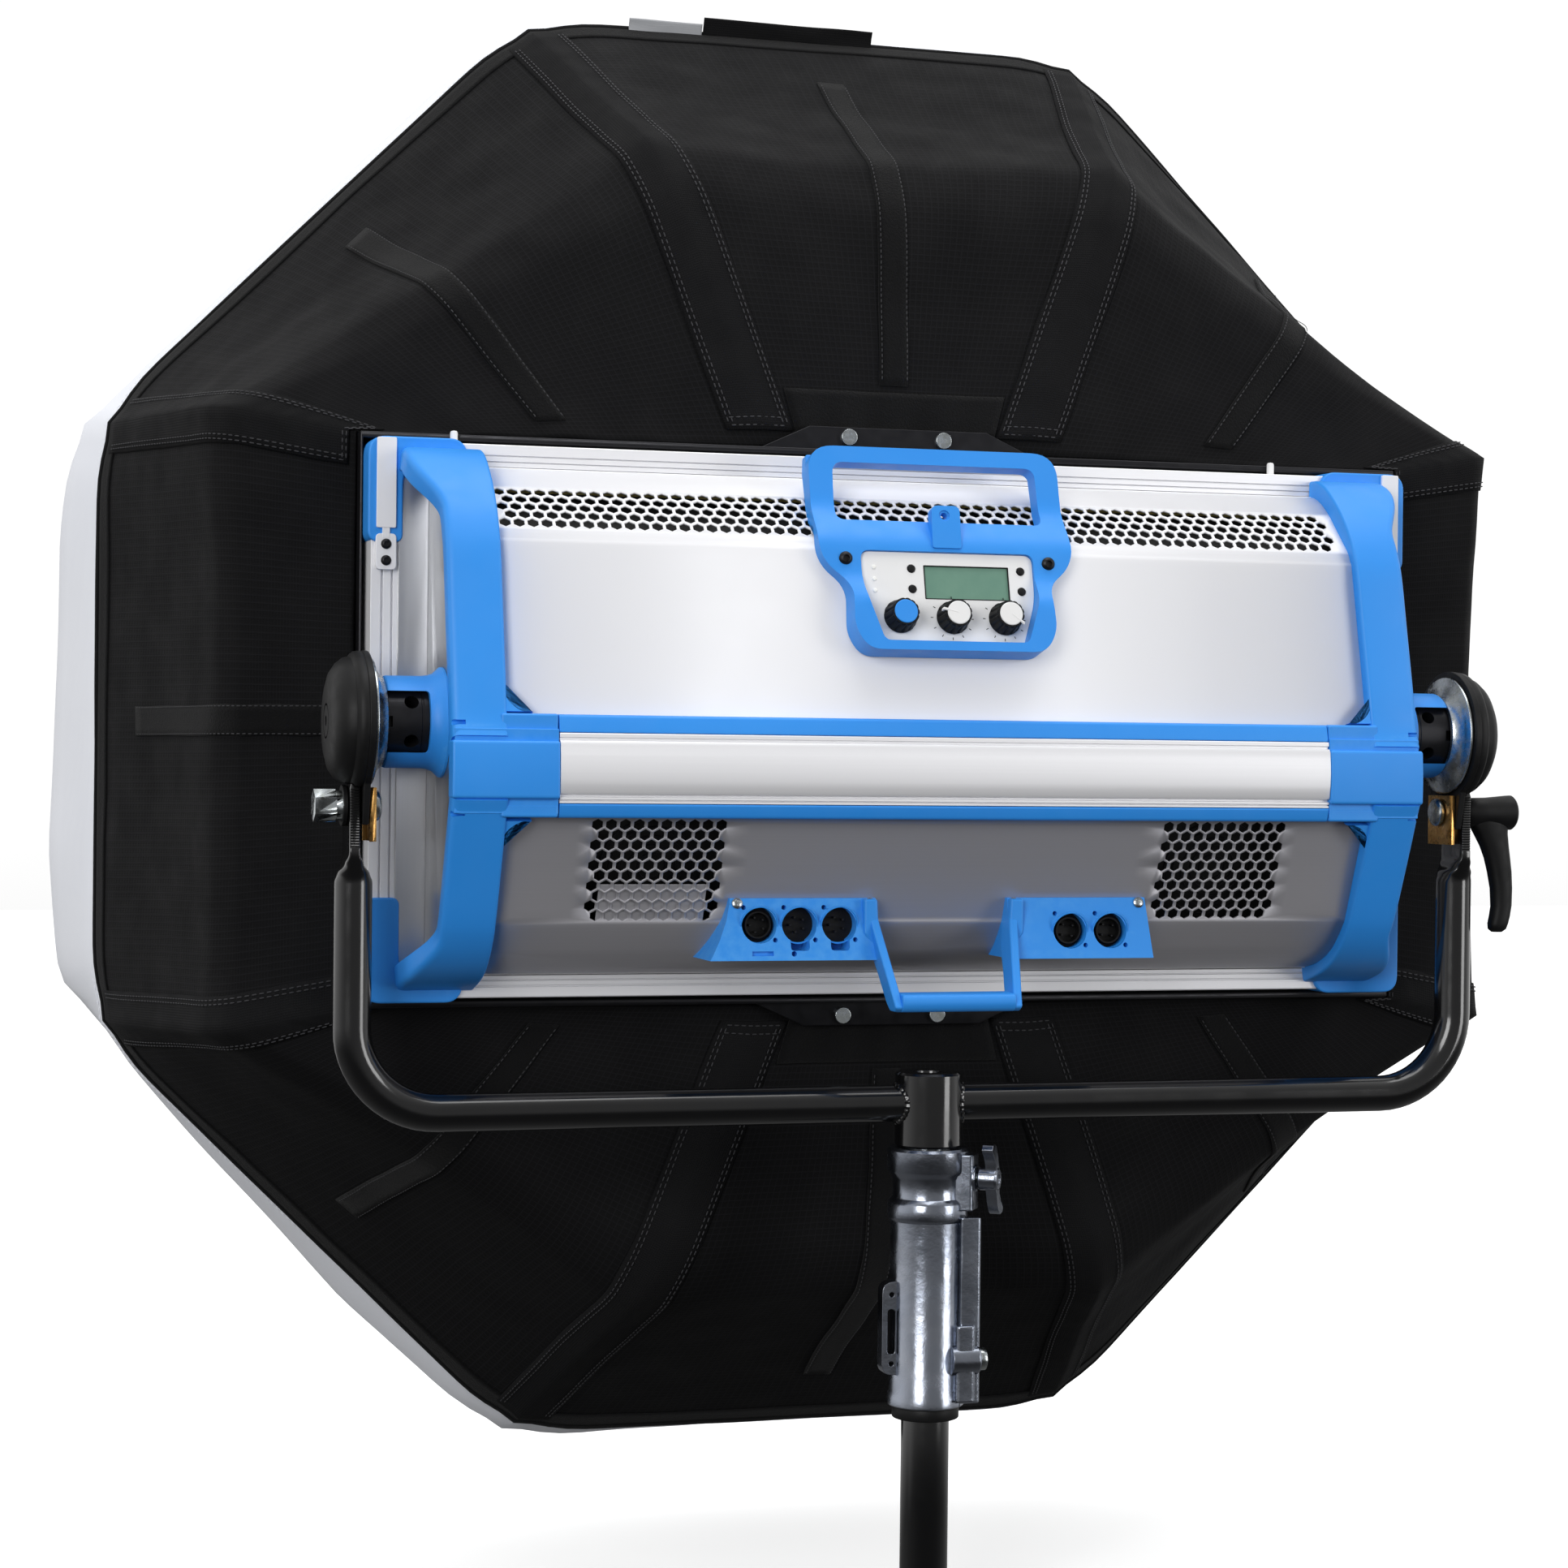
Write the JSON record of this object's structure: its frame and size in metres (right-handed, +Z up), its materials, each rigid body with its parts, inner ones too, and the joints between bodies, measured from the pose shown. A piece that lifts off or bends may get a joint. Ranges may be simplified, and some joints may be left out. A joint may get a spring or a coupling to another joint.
{
  "type": "studio softbox",
  "caption": "Octagonal fabric softbox with white front cloth on a flat LED panel light, in a tilting yoke on a stand riser.",
  "frame": {"origin": "centre of the riser's bottom face, on the yoke's pan axis", "axes": "+Z up along the riser, +Y the way the light shines, +X to the right seen from behind the light"},
  "size_m": [0.979, 0.4266, 1.0495],
  "materials": {
    "blue_plastic": "satin",
    "white_paint": "satin",
    "grey_steel": "satin",
    "aluminium": "satin",
    "cast_alloy": "polished",
    "steel": "polished",
    "brass": "satin",
    "black_paint": "gloss",
    "black_plastic": "satin",
    "black_metal": "satin",
    "white_plastic": "satin",
    "display": "gloss",
    "frosted": "matte",
    "led_phosphor": "matte",
    "black_fabric": "matte",
    "white_fabric": "matte"
  },
  "bodies": {
    "stand_riser": {"riser_end_plug": "black_plastic", "riser_tube": "black_paint", "riser_collar": "black_plastic", "receiver_casting": "cast_alloy", "receiver_clamp_bolt": "steel"},
    "receiver_screw": {"t_handle": "cast_alloy"},
    "yoke": {"yoke_frame": "black_paint", "yoke_plate_left": "black_plastic", "yoke_plate_right": "black_plastic", "brass_shoe_left": "brass", "brass_shoe_right": "brass", "tilt_bolt_left": "steel", "tilt_bolt_right": "steel"},
    "lock_lever": {"tilt_lever": "black_plastic"},
    "head": {"rail_top": "aluminium", "rail_bottom": "aluminium", "rail_left": "aluminium", "rail_right": "aluminium", "frame_corner_top_left": "blue_plastic", "frame_corner_top_right": "blue_plastic", "frame_corner_bottom_left": "blue_plastic", "frame_corner_bottom_right": "blue_plastic", "upper_cover": "white_paint", "lower_cover": "grey_steel", "spine_cover": "aluminium", "spine_trim_upper": "blue_plastic", "spine_trim_lower": "blue_plastic", "bumper_left": "blue_plastic", "bumper_right": "blue_plastic", "end_plate_left": "grey_steel", "end_plate_right": "grey_steel", "pivot_housing_left": "blue_plastic", "pivot_housing_right": "blue_plastic", "pivot_axle_left": "black_metal", "pivot_axle_right": "black_metal", "heat_sink": "black_metal", "led_board": "led_phosphor", "light_diffuser": "frosted", "control_handle": "blue_plastic", "control_panel": "white_plastic", "display": "display", "connector_handle": "blue_plastic", "softbox_skin": "black_fabric", "rib_1": "steel", "rib_2": "steel", "rib_3": "steel", "rib_4": "steel", "rib_5": "steel", "rib_6": "steel", "rib_7": "steel", "rib_8": "steel", "softbox_mount_frame": "aluminium", "front_diffuser": "white_fabric"},
    "dial_intensity": {"knob_intensity": "blue_plastic"},
    "dial_colour": {"knob_colour": "white_plastic"},
    "dial_tint": {"knob_tint": "white_plastic"},
    "key_menu": {"button_menu": "black_plastic"},
    "key_back": {"button_back": "black_plastic"},
    "key_mode": {"button_mode": "black_plastic"},
    "key_preset": {"button_preset": "black_plastic"}
  },
  "joints": [
    {"name": "pan", "type": "hinge", "parent": "stand_riser", "child": "yoke", "pos_m": [0, 0, 0.3], "axis": [0, 0, 1], "continuous": true},
    {"name": "receiver_screw_turn", "type": "hinge", "parent": "stand_riser", "child": "receiver_screw", "pos_m": [0, 0, 0.281], "axis": [0.8192, -0.5736, 0], "continuous": true},
    {"name": "tilt", "type": "hinge", "parent": "yoke", "child": "head", "pos_m": [0, 0, 0.56], "axis": [1, 0, 0], "range_deg": [-8, 90]},
    {"name": "lock_lever_turn", "type": "hinge", "parent": "yoke", "child": "lock_lever", "pos_m": [0.38, 0, 0.51], "axis": [1, 0, 0], "continuous": true},
    {"name": "dial_intensity_turn", "type": "hinge", "parent": "head", "child": "dial_intensity", "pos_m": [-0.033, -0.03131, 0.62792], "axis": [0, -0.9703, 0.2419], "continuous": true},
    {"name": "dial_colour_turn", "type": "hinge", "parent": "head", "child": "dial_colour", "pos_m": [0.001, -0.03131, 0.62792], "axis": [0, -0.9703, 0.2419], "continuous": true},
    {"name": "dial_tint_turn", "type": "hinge", "parent": "head", "child": "dial_tint", "pos_m": [0.035, -0.03131, 0.62792], "axis": [0, -0.9703, 0.2419], "continuous": true},
    {"name": "key_menu_press", "type": "slide", "parent": "head", "child": "key_menu", "axis": [0, 0.9703, -0.2419], "range_m": [0, 0.0008], "stiffness_N_per_m": 500},
    {"name": "key_back_press", "type": "slide", "parent": "head", "child": "key_back", "axis": [0, 0.9703, -0.2419], "range_m": [0, 0.0008], "stiffness_N_per_m": 500},
    {"name": "key_mode_press", "type": "slide", "parent": "head", "child": "key_mode", "axis": [0, 0.9703, -0.2419], "range_m": [0, 0.0008], "stiffness_N_per_m": 500},
    {"name": "key_preset_press", "type": "slide", "parent": "head", "child": "key_preset", "axis": [0, 0.9703, -0.2419], "range_m": [0, 0.0008], "stiffness_N_per_m": 500}
  ]
}
